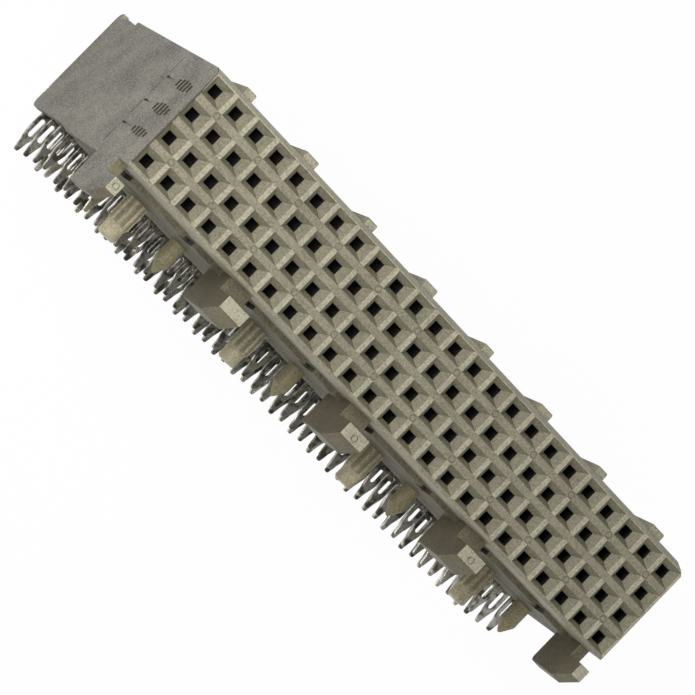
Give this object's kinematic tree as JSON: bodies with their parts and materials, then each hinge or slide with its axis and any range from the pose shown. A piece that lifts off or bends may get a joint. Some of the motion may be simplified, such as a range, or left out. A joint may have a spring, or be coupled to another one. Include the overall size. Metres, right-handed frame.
{
  "type": "right-angle press-fit receptacle connector",
  "caption": "Right-angle board connector with a grid of square sockets in its mating face, hooked feet, round posts, pointed pegs and rows of press-fit tails.",
  "frame": {"origin": "middle of the overall box at its bottom, on the plane of the rear edges of the end plates", "axes": "+X along the row of columns, +Z out of the mating face, -Y towards the circuit board, so the part lies on its back with its sockets up"},
  "size_m": [0.048, 0.0122, 0.0194],
  "materials": {
    "housing_plastic": "fine grained moulding, warm grey-beige",
    "organiser_plastic": "fine grained moulding, dark grey",
    "contact_metal": "dull tin plating on stamped copper alloy"
  },
  "bodies": {
    "root": {"receptacle_housing": "housing_plastic", "tail_organiser": "organiser_plastic", "contact_c01": "contact_metal", "contact_c02": "contact_metal", "contact_c03": "contact_metal", "contact_c04": "contact_metal", "contact_c05": "contact_metal", "contact_c06": "contact_metal", "contact_c07": "contact_metal", "contact_c08": "contact_metal", "contact_c09": "contact_metal", "contact_c10": "contact_metal", "contact_c11": "contact_metal", "contact_c12": "contact_metal", "contact_c13": "contact_metal", "contact_c14": "contact_metal", "contact_c15": "contact_metal", "contact_c16": "contact_metal", "contact_c17": "contact_metal", "contact_c18": "contact_metal", "contact_c19": "contact_metal", "contact_c20": "contact_metal", "contact_c21": "contact_metal", "contact_c22": "contact_metal", "contact_c23": "contact_metal", "contact_c24": "contact_metal", "contact_d01": "contact_metal", "contact_d02": "contact_metal", "contact_d03": "contact_metal", "contact_d04": "contact_metal", "contact_d05": "contact_metal", "contact_d06": "contact_metal", "contact_d07": "contact_metal", "contact_d08": "contact_metal", "contact_d09": "contact_metal", "contact_d10": "contact_metal", "contact_d11": "contact_metal", "contact_d12": "contact_metal", "contact_d13": "contact_metal", "contact_d14": "contact_metal", "contact_d15": "contact_metal", "contact_d16": "contact_metal", "contact_d17": "contact_metal", "contact_d18": "contact_metal", "contact_d19": "contact_metal", "contact_d20": "contact_metal", "contact_d21": "contact_metal", "contact_d22": "contact_metal", "contact_d23": "contact_metal", "contact_d24": "contact_metal"}
  },
  "joints": []
}
